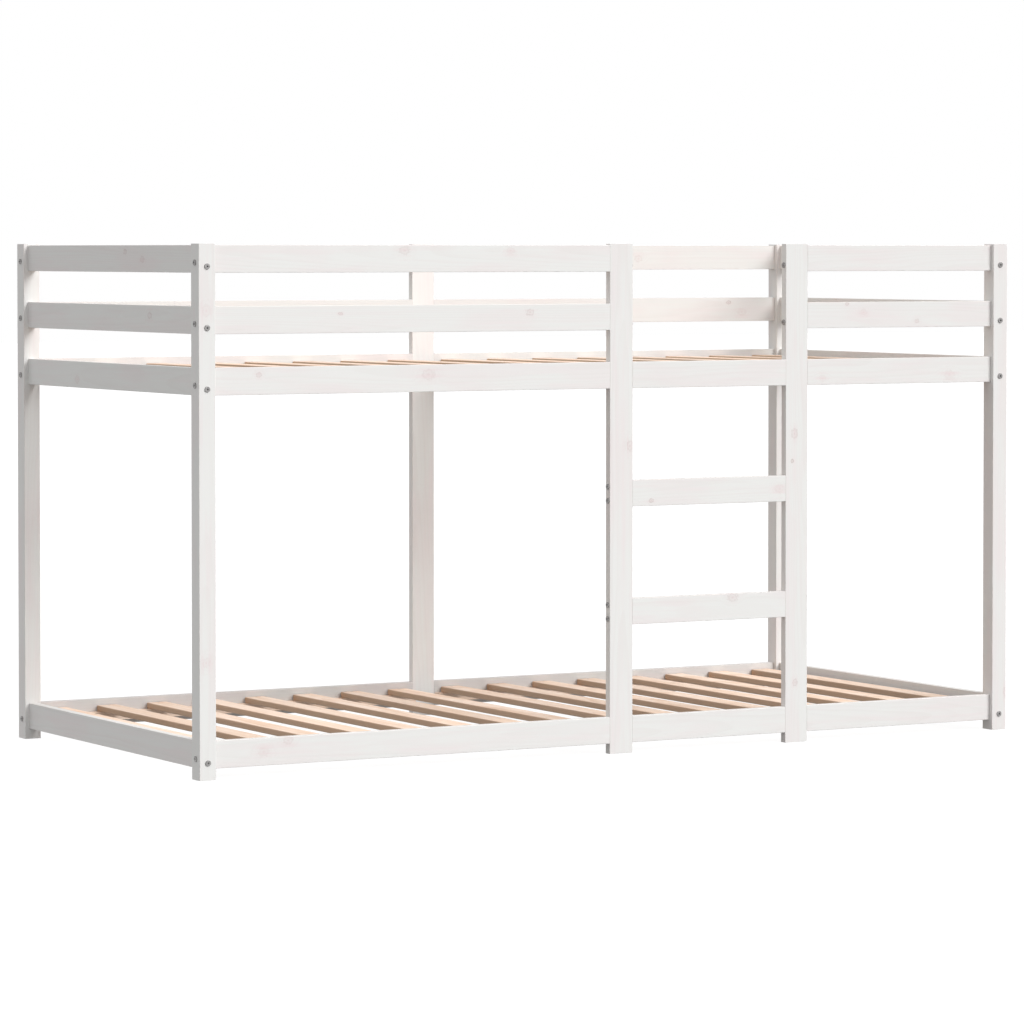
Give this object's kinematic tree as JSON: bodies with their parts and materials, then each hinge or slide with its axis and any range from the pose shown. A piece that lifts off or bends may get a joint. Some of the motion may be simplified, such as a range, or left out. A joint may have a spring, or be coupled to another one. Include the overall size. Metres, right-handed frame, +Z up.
{
  "type": "bunk bed",
  "caption": "Low pine bunk bed: slatted bunks one above the other in a bolted post-and-rail frame, with guard rails round the upper bunk and a fixed upright ladder at the front.",
  "frame": {"origin": "on the floor, at the middle of the footprint", "axes": "+X along the bed towards the ladder end, +Y from the front to the back, +Z up; the ladder is on the -Y side"},
  "size_m": [2.0604, 0.9604, 1.12],
  "materials": {
    "white_pine": "thin white glaze over pine, satin, grain and knots showing through",
    "natural_pine": "planed pine, unfinished, matt",
    "beech": "turned beech dowel, unfinished",
    "bolt_steel": "dark burnished bolts, satin",
    "zinc_steel": "bright zinc-plated hardware"
  },
  "bodies": {
    "root": {"back_rail_left_lower": "white_pine", "back_rail_left_second": "white_pine", "back_rail_left_top": "white_pine", "back_rail_left_upper": "white_pine", "back_rail_right_lower": "white_pine", "back_rail_right_second": "white_pine", "back_rail_right_top": "white_pine", "back_rail_right_upper": "white_pine", "barrel_nuts_corners": "zinc_steel", "barrel_nuts_ladder": "zinc_steel", "bed_rail_front_left_lower": "white_pine", "bed_rail_front_left_upper": "white_pine", "bed_rail_front_middle_lower": "white_pine", "bed_rail_front_middle_upper": "white_pine", "bed_rail_front_right_lower": "white_pine", "bed_rail_front_right_upper": "white_pine", "bolts_end_rails": "bolt_steel", "bolts_guard_rails": "bolt_steel", "bolts_long_rails": "bolt_steel", "bolts_rungs": "bolt_steel", "dowels": "beech", "end_rail_left_lower": "white_pine", "end_rail_left_second": "white_pine", "end_rail_left_top": "white_pine", "end_rail_left_upper": "white_pine", "end_rail_right_lower": "white_pine", "end_rail_right_second": "white_pine", "end_rail_right_top": "white_pine", "end_rail_right_upper": "white_pine", "guard_rail_front_left_second": "white_pine", "guard_rail_front_left_top": "white_pine", "guard_rail_front_right_second": "white_pine", "guard_rail_front_right_top": "white_pine", "ladder_post_left": "white_pine", "ladder_post_right": "white_pine", "ledger_back_left_lower": "natural_pine", "ledger_back_left_upper": "natural_pine", "ledger_back_right_lower": "natural_pine", "ledger_back_right_upper": "natural_pine", "ledger_front_left_lower": "natural_pine", "ledger_front_left_upper": "natural_pine", "ledger_front_right_lower": "natural_pine", "ledger_front_right_upper": "natural_pine", "post_back_left": "white_pine", "post_back_middle": "white_pine", "post_back_right": "white_pine", "post_front_left": "white_pine", "post_front_right": "white_pine", "rung_1": "white_pine", "rung_2": "white_pine", "screws_ledgers": "zinc_steel", "screws_slats": "zinc_steel", "slats_left_lower": "natural_pine", "slats_left_upper": "natural_pine", "slats_right_lower": "natural_pine", "slats_right_upper": "natural_pine", "stud_nuts": "zinc_steel", "stud_washers": "zinc_steel", "studs": "zinc_steel"}
  },
  "joints": []
}
